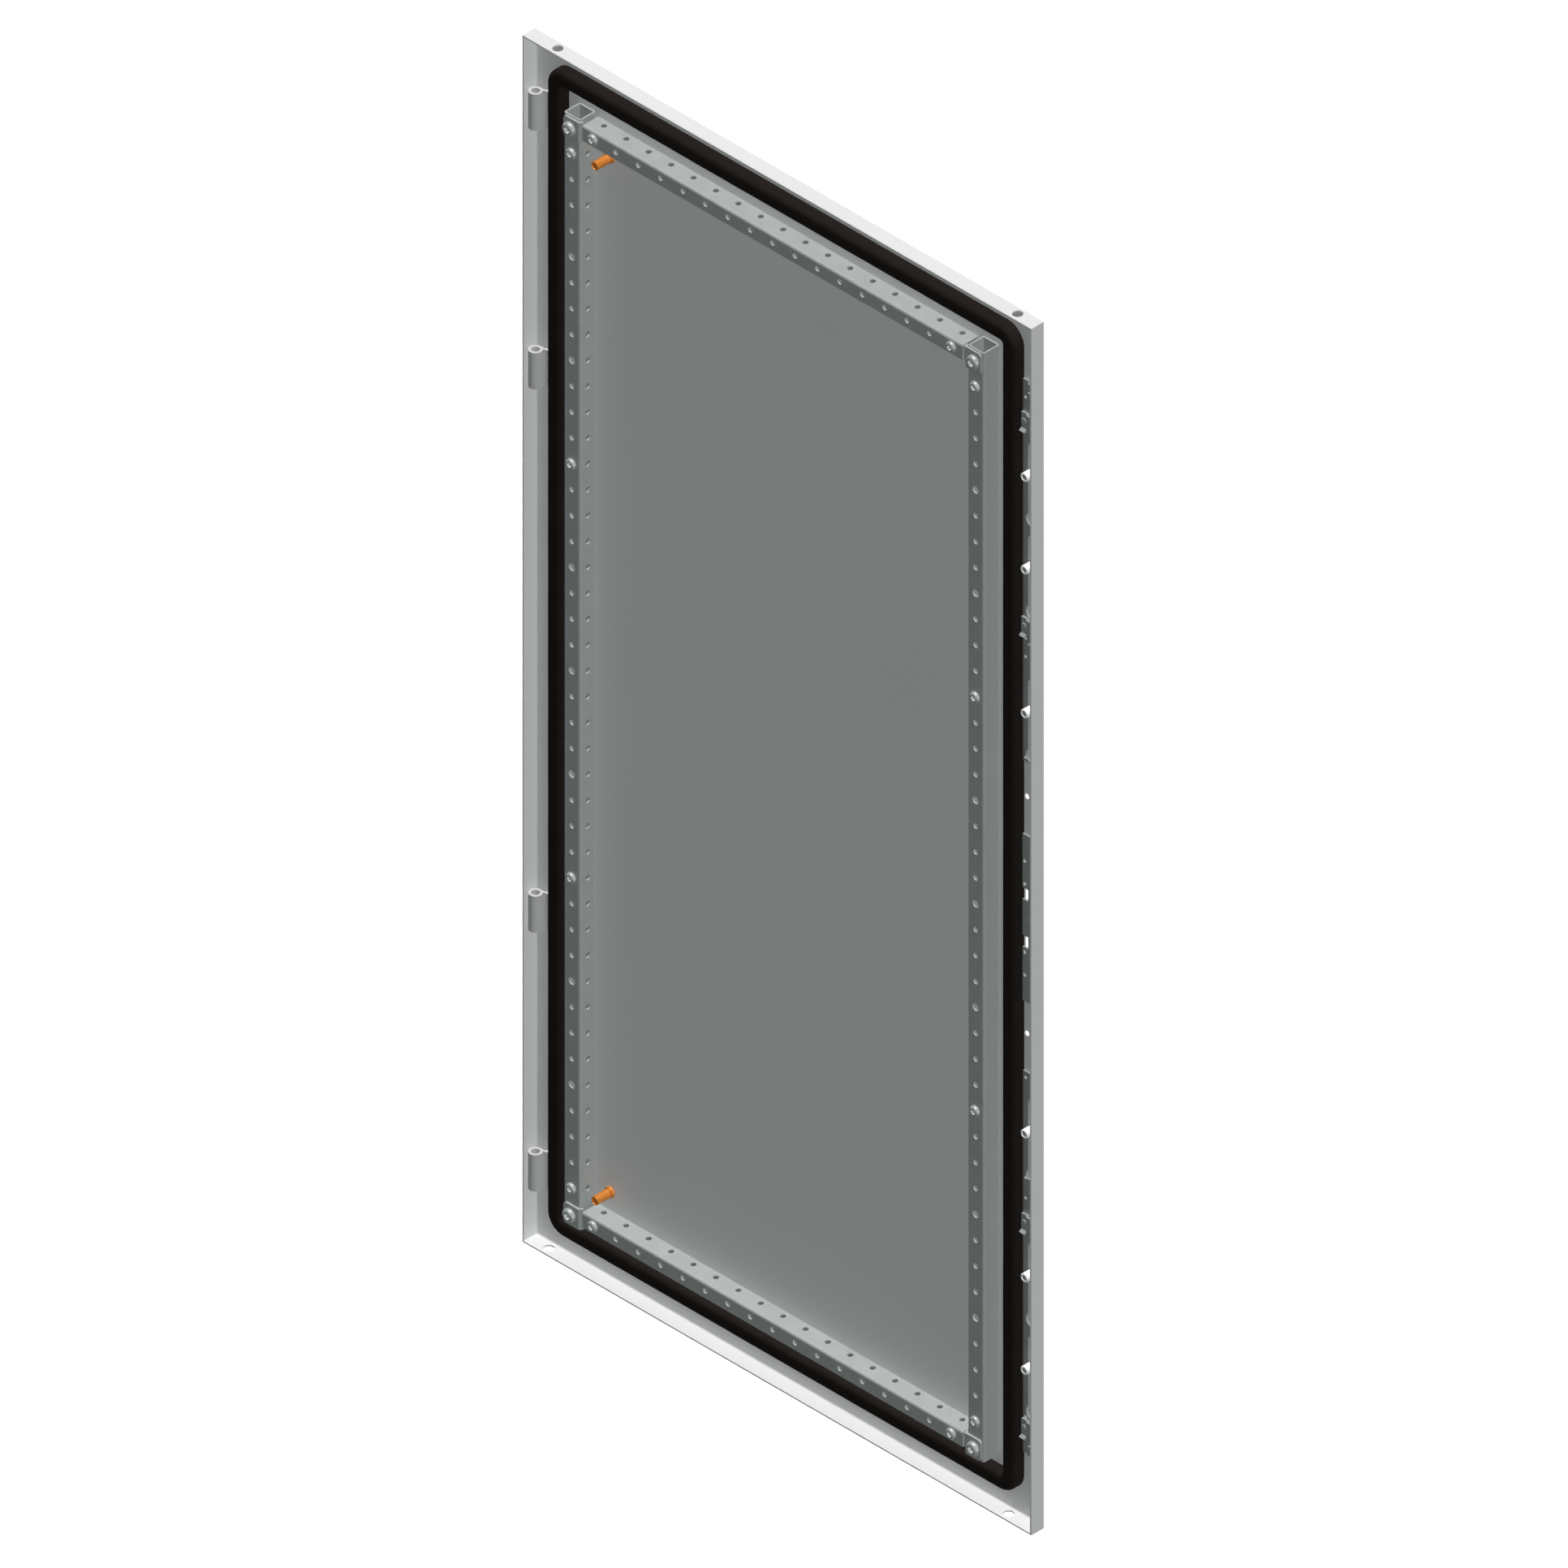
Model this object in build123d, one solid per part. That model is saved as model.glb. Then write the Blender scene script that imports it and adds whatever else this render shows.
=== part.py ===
"""Enclosure door leaf, 1200 x 600 size: folded sheet pan, foam gasket, perforated tube frame,
four rolled hinge eyes on the left edge and a sliding rack-driven lock bar on the right edge.

Written in door coordinates, in millimetres: x from the hinge edge to the lock edge, y from the rim
of the folded edges (0) to the outside face (door_depth), z up from the bottom edge. Every piece is
moved once, at export, so that the origin ends at the bottom centre of the whole part's box.
"""
from build123d import *
import math
import os

# ---- driving dimensions: the folded sheet pan
door_width = 568.0
door_height = 1166.0
door_depth = 16.0
sheet = 1.5
bend_radius = 3.0
flange_hole_r = 4.5
flange_hole_y = 7.2
flange_hole_near = 22.5
flange_hole_far = 32.5

# ---- gasket: a poured foam bead of D section round the pan
gasket_side_inset = 22.4
gasket_bottom_inset = 22.2
gasket_top_inset = 18.1
gasket_width = 15.5
gasket_height = 11.0
gasket_crown_r = 4.5
gasket_inner_r = 2.5

# ---- perforated frame: two square tubes and two folded rails on a 25 mm pitch
pitch = 25.0
tube_side = 18.0
tube_wall = 1.5
tube_corner_r = 2.0
tube_inset = 49.7
tube_end_margin = 47.25
tube_end_land = 10.0
hole_r = 2.5
fixing_hole_r = 3.4
fixing_every = 4
fixing_first = 1
screwed_share = 0.3
rail_depth = 19.3
rail_height = 14.5
rail_wall = 1.5
rail_fold_r = 2.4
rail_gap = 4.1
rail_end_land = 12.0
rail_top_inset = 49.1
rail_bottom_low = 52.2
rail_top_hole_y = 7.0

# ---- corner brackets, fasteners and studs
bracket_sheet = 2.0
bracket_height = 19.5
bracket_overlap = 16.0
m5_head_r = 4.9
m5_head_h = 3.2
m5_shank_r = 2.4
m6_head_r = 6.2
m6_head_h = 3.9
m6_shank_r = 2.9
fit = 0.05
bush_r = 4.0
nut_length = 5.0
stud_r = 4.0
stud_length = 18.0
stud_collar_r = 5.0
stud_collar_h = 2.6

# ---- hinge eyes: a strip rolled round the pin bore
eye_strip = 2.4
eye_bore_r = 3.5
eye_clearance = 0.3
eye_lift = 1.6
eye_height = 35.0
eye_end_insets = (53.0, 303.0)
leaf_end_x = 21.9
leaf_rivet_x = 19.0
leaf_rivet_spread = 8.5
rivet_head_r = 2.4
rivet_head_h = 1.3
rivet_r = 1.5

# ---- lock edge: sliding bars, guides, rack and pinion
bar_inset = 21.6
bar_width = 18.9
bar_sheet = 1.8
bar_gap = 0.3
bar_end_margin = 64.5
bar_joint_inset = 326.0
bar_reach_in = 150.0
guide_inset = 12.0
guide_end_insets = (151.5, 241.0)
guide_mid_out = 203.0
guide_shank_r = 3.8
guide_collar_r = 5.6
guide_collar_h = 0.8
guide_core_r = 2.5
guide_sleeve_r = 4.0
guide_tip_y = 3.7
guide_slack = 0.25
slot_up = 28.5
slot_down = 45.5
keyhole_r = 6.5
small_hole_r = 1.5
small_hole_inset = 18.8
catch_top_insets = (95.2, 293.2)
catch_bottom_insets = (296.2, 98.0)
catch_height = 15.0
catch_sheet = 2.2
catch_step = 1.8
catch_flare = 2.7
gear_module = 1.0
pinion_teeth = 13
rack_addendum = 0.75
backlash = 0.12
pinion_addendum = 0.9
strip_width = 4.0
lock_plate_sheet = 1.8
lock_plate_half = 80.5
lock_plate_inset = 20.2
lock_plate_leg = 9.0
notch_depth = 6.4
notch_near = 17.4
notch_far = 28.6
window_near = 12.0
window_far = 36.0
window_inset = 21.8
window_width = 16.6
barrel_r = 8.0
barrel_flange_r = 10.4
barrel_flange_h = 2.0
spindle_r = 6.0
journal_r = 3.0
handle_hole_out = 114.5
handle_hole_r = 2.5
handle_hole_inset = 19.4

# ---- places worked out from them
panel_y = door_depth - sheet
tube_y = panel_y - tube_side
tube_mid_y = tube_y + tube_side / 2
tube_z0 = tube_end_margin
tube_length = door_height - 2 * tube_end_margin
tube_hole_count = 2 * math.floor((tube_length / 2 - tube_end_land) / pitch) + 1
last_fixing = (tube_hole_count - 1 - 2 * fixing_first) // fixing_every
third = round(last_fixing * screwed_share)
screwed_fixings = (0, third, last_fixing - third, last_fixing)
hole_z0 = door_height / 2 - pitch * (tube_hole_count - 1) / 2
left_tube_x = tube_inset
right_tube_x = door_width - tube_inset - tube_side
rail_y = panel_y - rail_depth
rail_x0 = tube_inset + tube_side + rail_gap
rail_length = door_width - 2 * rail_x0
rail_hole_count = 2 * math.floor((rail_length / 2 - rail_end_land) / pitch) + 1
rail_top_low = door_height - rail_top_inset - rail_height
rail_hole_x0 = door_width / 2 - pitch * (rail_hole_count - 1) / 2
gasket_corner_r = gasket_inner_r + gasket_width
eye_r = eye_bore_r + eye_strip
eye_x = sheet + eye_clearance + eye_r
eye_y = panel_y - eye_r - eye_lift
eye_tops = [door_height - inset for inset in eye_end_insets]
eye_tops += [inset + eye_height for inset in eye_end_insets[::-1]]
bar_x = door_width - bar_inset
guide_x = door_width - guide_inset
small_hole_x = door_width - small_hole_inset
lock_plate_x = door_width - lock_plate_inset
window_x = door_width - window_inset
handle_hole_x = door_width - handle_hole_inset
bar_mid_z = door_height / 2
bar_reach_out = door_height / 2 - bar_end_margin
bar_joint_out = door_height / 2 - bar_joint_inset
guide_out = [door_height / 2 - inset for inset in guide_end_insets] + [guide_mid_out]
catch_tops = [door_height - inset for inset in catch_top_insets] + list(catch_bottom_insets)
bar_y1 = panel_y - bar_gap
bar_y0 = bar_y1 - bar_sheet
bar_x1 = bar_x + bar_width
pitch_r = gear_module * pinion_teeth / 2
strip_x = bar_x1 - strip_width
rack_root_x = strip_x
rack_pitch_x = rack_root_x - 1.15 * gear_module
spindle_x = rack_pitch_x - pitch_r
lock_plate_y0 = bar_y0 - 0.2 - lock_plate_sheet
catch_y0 = bar_y0 - catch_sheet
lug_y = tube_y - bracket_sheet
deepest_y = lug_y - m6_head_h
outermost_y = door_depth + barrel_flange_h
shift = Location((-door_width / 2, -(deepest_y + outermost_y) / 2, 0))
tube_fixing_z = [hole_z0 + pitch * (fixing_first + fixing_every * k) for k in screwed_fixings]
large_z = [hole_z0 + pitch * i for i in range(fixing_first, tube_hole_count, fixing_every)]
corner_z = (hole_z0, hole_z0 + pitch * (tube_hole_count - 1))
fix_centres = [(x + tube_side / 2, z) for x in (left_tube_x, right_tube_x) for z in tube_fixing_z]
corner_centres = [(x + tube_side / 2, z) for x in (left_tube_x, right_tube_x) for z in corner_z]
rail_hole_xs = [rail_hole_x0 + pitch * i for i in range(rail_hole_count)]
rail_lows = (rail_bottom_low, rail_top_low)
rail_end_xs = (rail_hole_xs[0], rail_hole_xs[-1])
rail_fix_centres = [(x, low + rail_height / 2) for x in rail_end_xs for low in rail_lows]
stud_z = (hole_z0 + pitch, hole_z0 + pitch * (tube_hole_count - 2))
guide_zs = [bar_mid_z + sign * out for sign in (1, -1) for out in guide_out]


def block(x0, x1, y0, y1, z0, z1):
    """A box between two corners."""
    size = (x1 - x0, y1 - y0, z1 - z0)
    return Pos((x0 + x1) / 2, (y0 + y1) / 2, (z0 + z1) / 2) * Box(*size)


def rod_y(x, z, r, y0, y1):
    """A round bar along y."""
    return Pos(x, (y0 + y1) / 2, z) * Rot(90, 0, 0) * Cylinder(r, y1 - y0)


def rod_x(y, z, r, x0, x1):
    """A round bar along x."""
    return Pos((x0 + x1) / 2, y, z) * Rot(0, 90, 0) * Cylinder(r, x1 - x0)


def rod_z(x, y, r, z0, z1):
    """A round bar along z."""
    return Pos(x, y, (z0 + z1) / 2) * Cylinder(r, z1 - z0)


def wall_xz(sketch, y0, y1):
    """A sketch drawn in x and z, made solid from y0 to y1."""
    face = Plane.XZ.offset(-y1) * sketch
    return extrude(face, y1 - y0)


def panel():
    """The sheet pan: outside face, four folded edges, cut-outs for the lock and the handle."""
    pan = block(0, door_width, 0, door_depth, 0, door_height)
    outer_edges = pan.faces().sort_by(Axis.Y)[-1].edges()
    pan = fillet(outer_edges, bend_radius)
    pocket = block(sheet, door_width - sheet, -1, panel_y, sheet, door_height - sheet)
    pocket = fillet(pocket.faces().sort_by(Axis.Y)[-1].edges(), bend_radius - sheet)
    pan -= pocket
    top_holes = (flange_hole_far, door_width - flange_hole_near)
    bottom_holes = (flange_hole_near, door_width - flange_hole_far)
    pan -= [rod_z(x, flange_hole_y, flange_hole_r, door_height - 3, door_height + 1) for x in top_holes]
    pan -= [rod_z(x, flange_hole_y, flange_hole_r, -1, 3) for x in bottom_holes]
    for sign in (1, -1):
        z_near, z_far = sorted((bar_mid_z + sign * window_near, bar_mid_z + sign * window_far))
        pan -= block(window_x, window_x + window_width, panel_y - 1, door_depth + 1, z_near, z_far)
        hole_z = bar_mid_z + sign * handle_hole_out
        pan -= rod_y(handle_hole_x, hole_z, handle_hole_r, panel_y - 1, door_depth + 1)
    pan -= rod_y(spindle_x, bar_mid_z, barrel_r + fit, panel_y - 1, door_depth + 1)
    return pan


def gasket():
    """One closed bead with a crowned top and rounded corners."""
    x0, x1 = gasket_side_inset, door_width - gasket_side_inset
    z0, z1 = gasket_bottom_inset, door_height - gasket_top_inset
    centre = Location(((x0 + x1) / 2, (z0 + z1) / 2))
    outer = RectangleRounded(x1 - x0, z1 - z0, gasket_corner_r)
    inner = RectangleRounded(x1 - x0 - 2 * gasket_width, z1 - z0 - 2 * gasket_width, gasket_inner_r)
    bead = wall_xz(centre * (outer - inner), panel_y - gasket_height, panel_y)
    front = bead.faces().sort_by(Axis.Y)[0]
    outline = front.outer_wire().edges()
    crown = fillet(outline, gasket_crown_r)
    front = crown.faces().sort_by(Axis.Y)[0]
    return chamfer(front.inner_wires()[0].edges(), gasket_crown_r * 0.5)


def tube(x0):
    """A square tube: holes in its front, larger ones every 100 mm, and in the side facing the middle."""
    outer = RectangleRounded(tube_side, tube_side, tube_corner_r)
    bore = tube_side - 2 * tube_wall
    inner = RectangleRounded(bore, bore, tube_corner_r - tube_wall + 0.2)
    middle_x = x0 + tube_side / 2
    body = extrude(Pos(middle_x, tube_mid_y, tube_z0) * (outer - inner), tube_length)
    inner_x = x0 + tube_side if x0 < door_width / 2 else x0
    cuts = []
    for i in range(tube_hole_count):
        z = hole_z0 + pitch * i
        large = z in large_z
        corner = z in corner_z
        front_r = fixing_hole_r if large or corner else hole_r
        cuts.append(rod_y(middle_x, z, front_r, tube_y - 1, tube_y + 3))
        cuts.append(rod_x(tube_mid_y, z, hole_r, inner_x - 3, inner_x + 3))
    for z in tube_fixing_z:
        cuts.append(rod_y(middle_x, z, bush_r + 0.3, panel_y - 3, panel_y + 1))
    return body - cuts


def rail(low):
    """A folded channel, open below, with holes in its top and front."""
    high = low + rail_height
    x1 = rail_x0 + rail_length
    outer = block(rail_x0, x1, rail_y, panel_y, low, high)
    fold = outer.edges().filter_by(Axis.X).sort_by(Axis.Z)[-2:]
    outer = fillet(fold, rail_fold_r)
    hollow = block(rail_x0 - 1, x1 + 1, rail_y + rail_wall, panel_y - rail_wall, low - 1, high - rail_wall)
    body = outer - hollow
    middle_z = low + rail_height / 2
    cuts = [rod_z(x, rail_top_hole_y, hole_r, high - 3, high + 1) for x in rail_hole_xs]
    cuts += [rod_y(x, middle_z, hole_r, rail_y - 1, rail_y + 3) for x in rail_hole_xs]
    return body - cuts


def corner_bracket(left, z_tube, z_rail):
    """A jogged plate: one lug on the tube's front, the other behind the rail's front wall."""
    side = 1 if left else -1
    tube_edge = left_tube_x if left else right_tube_x + tube_side
    start = tube_edge + side * 1.6
    jog = tube_edge + side * (tube_side + 0.2)
    jog_end = jog + side * 2.4
    end = (rail_hole_xs[0] if left else rail_hole_xs[-1]) + side * 5.0
    back_y = rail_y + rail_wall + 0.1
    front_y = back_y + bracket_sheet
    points = [(start, lug_y), (jog, lug_y), (jog_end, back_y), (end, back_y), (end, front_y)]
    points += [(jog_end - side * 0.9, front_y), (jog - side * 0.9, tube_y), (start, tube_y)]
    if side < 0:
        points = points[::-1]
    face = Plane.XY.offset(z_tube - bracket_height / 2) * make_face(Polyline(*points, close=True))
    plate = extrude(face, bracket_height)
    lug_edges = plate.edges().filter_by(Axis.Y)
    lug_edges = [e for e in lug_edges if abs(e.center().X - start) < 0.1]
    plate = fillet(lug_edges, 3.0)
    tail_x0, tail_x1 = sorted((jog_end, end + side))
    tail_top = z_rail + rail_height / 2 - rail_wall - 0.2
    plate -= block(tail_x0, tail_x1, back_y - 1, back_y + 4, tail_top, tail_top + 40)
    tail_foot = z_rail - rail_height / 2
    plate -= block(tail_x0, tail_x1, back_y - 1, back_y + 4, tail_foot - 40, tail_foot)
    middle = tube_edge + side * tube_side / 2
    plate -= rod_y(middle, z_tube, m6_shank_r + 0.3, lug_y - 1, tube_y + 1)
    hole_x = rail_hole_xs[0] if left else rail_hole_xs[-1]
    plate -= rod_y(hole_x, z_rail, m5_shank_r + 0.2, back_y - 1, back_y + 4)
    return plate


def torx(x, z, r, y0, y1):
    """The six-lobed driver recess of a screw head."""
    cuts = [rod_y(x, z, r, y0, y1)]
    for k in range(6):
        a = math.radians(60 * k)
        cuts.append(rod_y(x + r * math.cos(a), z + r * math.sin(a), r * 0.34, y0, y1))
    return cuts


def pan_screw(x, z, seat_y, head_r, head_h, shank_r, length):
    """A pan-head screw whose head sits on the plane seat_y and points to the inside."""
    head = rod_y(x, z, head_r, seat_y - head_h, seat_y)
    head = fillet(head.faces().sort_by(Axis.Y)[0].edges(), head_h * 0.72)
    screw = head + rod_y(x, z, shank_r, seat_y, seat_y + length)
    return screw - torx(x, z, head_r * 0.34, seat_y - head_h - 1, seat_y - head_h * 0.35)


def threaded_sleeve(x, z, outer_r, bore_r, y0, y1):
    """A bush or nut that a screw runs into."""
    return rod_y(x, z, outer_r, y0, y1) - rod_y(x, z, bore_r + fit, y0 - 1, y1 + 1)


def hinge(top):
    """A strip rolled into an eye, joggled back on to the pan and riveted."""
    z0 = top - eye_height
    strip = eye_strip
    eye = Circle(eye_r) - Circle(eye_bore_r)
    gap_low = eye_r - strip - 0.25
    eye = Pos(eye_x, eye_y) * (eye - Pos(eye_r, gap_low + 0.1) * Rectangle(2 * eye_r, 0.25))
    tangent_y = eye_y + eye_bore_r
    leaf_y = panel_y - strip
    bend_x = eye_x + 4.2
    flat_x = bend_x + 2.6
    points = [(eye_x, tangent_y), (bend_x, tangent_y), (flat_x, leaf_y), (leaf_end_x, leaf_y)]
    points += [(leaf_end_x, panel_y), (flat_x - 0.4, panel_y)]
    points += [(bend_x - 0.4, tangent_y + strip), (eye_x, tangent_y + strip)]
    leaf = make_face(Polyline(*points, close=True))
    body = extrude(Pos(0, 0, z0) * (eye + leaf), eye_height)
    middle = z0 + eye_height / 2
    for sign in (1, -1):
        z = middle + sign * leaf_rivet_spread
        body -= rod_y(leaf_rivet_x, z, rivet_r + fit, leaf_y - 1, panel_y + 1)
    return body


def hinge_rivets():
    """Two projection pins to each hinge, standing on the pan with their heads on the leaf."""
    leaf_y = panel_y - eye_strip
    pins = []
    for top in eye_tops:
        for sign in (1, -1):
            z = top - eye_height / 2 + sign * leaf_rivet_spread
            head = rod_y(leaf_rivet_x, z, rivet_head_r, leaf_y - rivet_head_h, leaf_y)
            head = fillet(head.faces().sort_by(Axis.Y)[0].edges(), rivet_head_h * 0.7)
            pins.append(head + rod_y(leaf_rivet_x, z, rivet_r, leaf_y, panel_y))
    return pins


def earth_stud(z):
    """A threaded welding stud with its collar on the pan."""
    x = rail_hole_xs[0]
    collar = rod_y(x, z, stud_collar_r, panel_y - stud_collar_h, panel_y)
    tip_y = panel_y - stud_length
    shank = rod_y(x, z, stud_r, tip_y, panel_y - stud_collar_h)
    shank = chamfer(shank.faces().sort_by(Axis.Y)[0].edges(), 0.7)
    return collar + shank


def guide_stud(z):
    """A shouldered stud: a shank in the bar's slot, a collar over the bar and a core for the sleeve."""
    collar_y = bar_y0 - guide_slack - guide_collar_h
    stud = rod_y(guide_x, z, guide_shank_r, bar_y0 - guide_slack, panel_y)
    stud += rod_y(guide_x, z, guide_collar_r, collar_y, bar_y0 - guide_slack)
    return stud + rod_y(guide_x, z, guide_core_r, guide_tip_y + 0.5, collar_y)


def guide_sleeve(z):
    """The plastic sleeve over a guide stud."""
    collar_y = bar_y0 - guide_slack - guide_collar_h
    sleeve = rod_y(guide_x, z, guide_sleeve_r, guide_tip_y, collar_y)
    sleeve = chamfer(sleeve.faces().sort_by(Axis.Y)[0].edges(), 0.5)
    return sleeve - rod_y(guide_x, z, guide_core_r + fit, guide_tip_y - 1, collar_y + 1)


def bar(z0, z1, holes, end_step=0):
    """A flat lock bar with a keyhole slot at each guide stud and small holes near its ends."""
    plate = block(bar_x, bar_x1, bar_y0, bar_y1, z0, z1)
    half = guide_shank_r + guide_slack
    for z in guide_zs:
        if z0 < z < z1:
            top, bottom = z + slot_up - half, z - slot_down
            plate -= block(guide_x - half, guide_x + half, bar_y0 - 1, bar_y1 + 1, bottom, top)
            plate -= rod_y(guide_x, top, half, bar_y0 - 1, bar_y1 + 1)
            plate -= rod_y(guide_x, bottom, keyhole_r, bar_y0 - 1, bar_y1 + 1)
    for z in holes:
        plate -= rod_y(small_hole_x, z, small_hole_r, bar_y0 - 1, bar_y1 + 1)
    if end_step > 0:
        plate -= block(guide_x - 4, bar_x1 + 1, bar_y0 - 1, bar_y1 + 1, z1 - end_step, z1 + 1)
    return plate


def catch(top):
    """A stepped hook plate on the bar; the foot of its left pad flares to the inside as a lead-in."""
    z0 = top - catch_height
    y0, y1 = catch_y0, bar_y0
    left = bar_x + 0.2
    step_x = left + 6.0
    right = step_x + 6.0
    raised = y0 - catch_step
    under = raised + catch_sheet
    points = [(left, y0), (step_x, y0), (step_x + 1.2, raised), (right, raised), (right, under)]
    points += [(step_x + 2.2, under), (step_x + 1.0, y1), (left, y1)]
    plate = extrude(Pos(0, 0, z0) * make_face(Polyline(*points, close=True)), catch_height)
    flare_y, flare_z = y0 - catch_flare, z0 - catch_flare * 0.7
    foot = [(y1, z0), (y0, z0), (flare_y, flare_z), (flare_y + 0.9, flare_z - 1.3), (y1, z0 - 1.3)]
    tab = extrude(Plane.YZ.offset(left) * make_face(Polyline(*foot, close=True)), 5.8)
    body = plate + tab
    return body - rod_y(left + 3.0, z0 + catch_height * 0.5, small_hole_r + fit, raised - 1, y1 + 1)


def catch_rivets():
    """One rivet through each catch pad, its head on the pad."""
    pins = []
    for top in catch_tops:
        z = top - catch_height * 0.5
        x = bar_x + 3.2
        head = rod_y(x, z, small_hole_r + 0.9, catch_y0 - 0.7, catch_y0)
        pins.append(head + rod_y(x, z, small_hole_r, catch_y0, bar_y0))
    return pins


def joint_tab(z0, z1, x0):
    """A small plate over the front of two bars that meet."""
    return block(x0, bar_x1, bar_y0 - 1.6, bar_y0, z0, z1)


def lock_plate():
    """The bearing plate over the pinion, with a leg along the lock-side edge and two notches."""
    z0, z1 = bar_mid_z - lock_plate_half, bar_mid_z + lock_plate_half
    y0 = lock_plate_y0
    edge = door_width - sheet
    plate = block(lock_plate_x, edge, y0, y0 + lock_plate_sheet, z0, z1)
    leg_y = y0 - lock_plate_leg + lock_plate_sheet
    plate += block(edge - lock_plate_sheet, edge, leg_y, y0 + lock_plate_sheet, z0, z1)
    for sign in (1, -1):
        near, far = sorted((bar_mid_z + sign * notch_near, bar_mid_z + sign * notch_far))
        plate -= block(lock_plate_x - 1, lock_plate_x + notch_depth, y0 - 1, y0 + 4, near, far)
        for out in (33.0, 55.0):
            plate -= rod_y(lock_plate_x + 2.4, bar_mid_z + sign * out, small_hole_r + 0.2, y0 - 1, y0 + 4)
    return plate - rod_y(spindle_x, bar_mid_z, journal_r + fit, y0 - 1, y0 + 4)


def lock_barrel():
    """The bearing ring in the pan, with its flange on the outside face."""
    ring = rod_y(spindle_x, bar_mid_z, barrel_r, panel_y + 0.1, door_depth)
    flange = rod_y(spindle_x, bar_mid_z, barrel_flange_r, door_depth, outermost_y)
    flange = fillet(flange.faces().sort_by(Axis.Y)[-1].edges(), 1.0)
    return ring + flange - rod_y(spindle_x, bar_mid_z, spindle_r + fit, panel_y - 1, outermost_y + 1)


def lock_spindle():
    """The turning insert: a key recess with a double-bit pin, and an inner journal."""
    x, z = spindle_x, bar_mid_z
    head = rod_y(x, z, spindle_r, bar_y1, outermost_y - 0.3)
    recess = rod_y(x, z, 4.4, panel_y + 0.2, outermost_y + 1)
    core = rod_y(x, z, 1.5, panel_y - 0.2, outermost_y - 0.8)
    bits = block(x - 3.4, x + 3.4, panel_y - 0.2, outermost_y - 0.8, z - 0.8, z + 0.8)
    journal = rod_y(x, z, journal_r, lock_plate_y0, bar_y1 + 0.1)
    return (head - recess) + core + bits + journal


def involute_point(base_r, r, centre_angle, sign, half_angle):
    """A point at radius r on a flank that is half_angle wide at the base circle."""
    roll = math.sqrt(max(r * r / (base_r * base_r) - 1, 0))
    angle = centre_angle + sign * (half_angle - (roll - math.atan(roll)))
    return (r * math.cos(angle), r * math.sin(angle))


def pinion():
    """The steel pinion on the spindle, with one tooth pointing along +x at rest."""
    pressure = math.radians(20)
    base_r = pitch_r * math.cos(pressure)
    root_r = pitch_r - 1.15 * gear_module
    tip_r = pitch_r + pinion_addendum
    half_pitch = (math.pi * gear_module / 2 - backlash) / (2 * pitch_r)
    half_base = half_pitch + math.tan(pressure) - pressure
    radii = [base_r + (tip_r - base_r) * k / 4 for k in range(5)]
    points = []
    for tooth in range(pinion_teeth):
        centre = 2 * math.pi * tooth / pinion_teeth
        low = centre - half_base
        high = centre + half_base
        points.append((root_r * math.cos(low), root_r * math.sin(low)))
        points += [involute_point(base_r, r, centre, -1, half_base) for r in radii]
        points += [involute_point(base_r, r, centre, 1, half_base) for r in radii[::-1]]
        points.append((root_r * math.cos(high), root_r * math.sin(high)))
    outline = make_face(Polyline(*points, close=True))
    gear = wall_xz(Pos(spindle_x, bar_mid_z) * outline, bar_y0, bar_y1)
    return gear - rod_y(spindle_x, bar_mid_z, journal_r + fit, bar_y0 - 1, bar_y1 + 1)


def drive_rack():
    """The narrow strip behind the lock plate that joins the bars, with rack teeth at its middle."""
    strip = block(strip_x, bar_x1, bar_y0, bar_y1, bar_mid_z - bar_reach_in, bar_mid_z + bar_reach_in)
    tooth_pitch = math.pi * gear_module
    slope = math.tan(math.radians(20))
    half = tooth_pitch / 4 - backlash / 2
    tip_x = rack_pitch_x - rack_addendum
    half_tip = half - rack_addendum * slope
    half_root = half + (rack_root_x - rack_pitch_x) * slope
    for k in range(-6, 6):
        z = bar_mid_z + tooth_pitch * (k + 0.5)
        tooth = [(rack_root_x, z - half_root), (tip_x, z - half_tip), (tip_x, z + half_tip)]
        tooth += [(rack_root_x, z + half_root), (rack_root_x + 0.5, z + half_root)]
        tooth.append((rack_root_x + 0.5, z - half_root))
        strip += wall_xz(make_face(Polyline(*tooth, close=True)), bar_y0, bar_y1)
    return strip


def save(name, shape):
    """Move a piece or a group of pieces into the part's own frame and write it."""
    solids = shape if isinstance(shape, list) else [shape]
    moved = [shift * item for item in solids]
    whole = moved[0] if len(moved) == 1 else Compound(children=moved)
    whole.label = name
    export_step(whole, f"parts/{name}.step")


def set_of(make, places, *sizes):
    """One piece at each place."""
    return [make(x, z, *sizes) for x, z in places]


os.makedirs("parts", exist_ok=True)
save("door_panel", panel())
save("gasket", gasket())
save("left_tube", tube(left_tube_x))
save("right_tube", tube(right_tube_x))
save("bottom_rail", rail(rail_bottom_low))
save("top_rail", rail(rail_top_low))
for left in (True, False):
    for level in (0, 1):
        name = f"corner_bracket_{'left' if left else 'right'}_{'top' if level else 'bottom'}"
        save(name, corner_bracket(left, corner_z[level], rail_lows[level] + rail_height / 2))
front_y = tube_y + tube_wall
save("tube_screws", set_of(pan_screw, fix_centres, tube_y, m5_head_r, m5_head_h, m5_shank_r, 9.0))
save("tube_bushes", set_of(threaded_sleeve, fix_centres, bush_r, m5_shank_r, front_y, panel_y))
save("corner_screws", set_of(pan_screw, corner_centres, lug_y, m6_head_r, m6_head_h, m6_shank_r, 10.0))
save("corner_nuts", set_of(threaded_sleeve, corner_centres, 5.0, m6_shank_r, front_y, front_y + nut_length))
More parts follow.
